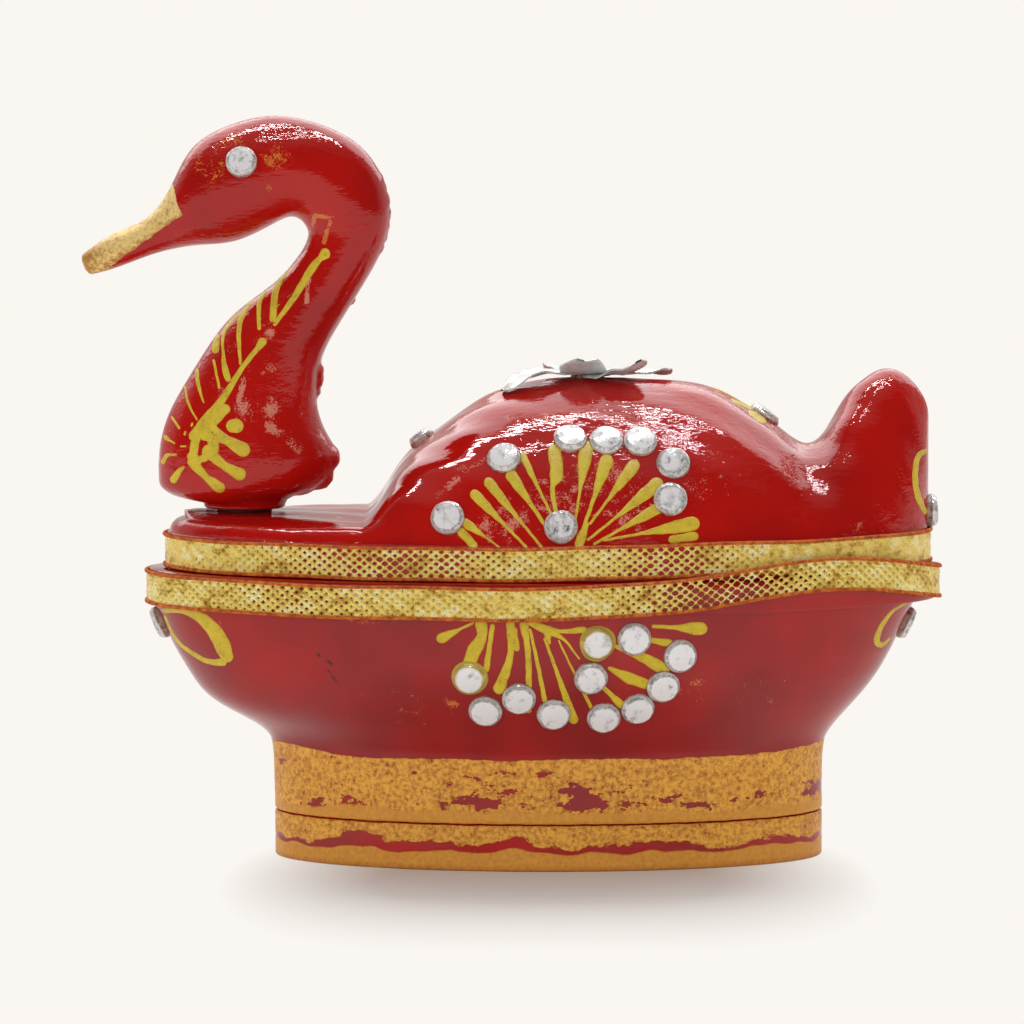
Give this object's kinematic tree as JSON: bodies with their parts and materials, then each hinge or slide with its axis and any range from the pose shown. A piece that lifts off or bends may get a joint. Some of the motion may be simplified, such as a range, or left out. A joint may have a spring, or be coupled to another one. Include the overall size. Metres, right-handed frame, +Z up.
{
  "type": "kumkum box",
  "caption": "Swan-shaped wooden powder box on an oval foot; its back and tail form a lid that swings sideways about a peg under the neck.",
  "frame": {"origin": "centre of the oval foot's underside, on the surface the box stands on", "axes": "+X from the beak towards the tail along the box's length, +Y towards the swan's right side, +Z up"},
  "size_m": [0.1259, 0.0552, 0.1088],
  "materials": {
    "lacquered_wood": "brushed glossy red lacquer",
    "gilded_wood": "worn gold paint over red lacquer",
    "peg_wood": "bare turned wood",
    "gold_lace": "metallic gold net ribbon with orange edge threads",
    "acrylic_stone": "silver-foiled clear acrylic",
    "foil_petals": "silver-foiled plastic"
  },
  "bodies": {
    "base": {"base_hull": "lacquered_wood", "foot_plate": "gilded_wood", "pivot_peg": "peg_wood", "neck_head": "lacquered_wood", "base_ribbon": "gold_lace", "bow_stone": "acrylic_stone", "stern_stone": "acrylic_stone", "eye_stone_left": "acrylic_stone", "eye_stone_right": "acrylic_stone", "base_fan_stones_left": "acrylic_stone", "base_fan_stones_right": "acrylic_stone"},
    "lid": {"lid": "lacquered_wood", "lid_ribbon": "gold_lace", "lid_fan_centre_left": "acrylic_stone", "lid_fan_centre_right": "acrylic_stone", "lid_fan_stones_left": "acrylic_stone", "lid_fan_stones_right": "acrylic_stone", "shoulder_stone": "acrylic_stone", "back_stone": "acrylic_stone", "tail_stone": "acrylic_stone", "crown_petals": "foil_petals", "crown_stone": "acrylic_stone"}
  },
  "joints": [
    {"name": "lid_swivel", "type": "hinge", "parent": "base", "child": "lid", "pos_m": [-0.0448, 0, 0.0426], "axis": [0, 0, 1], "continuous": true}
  ]
}
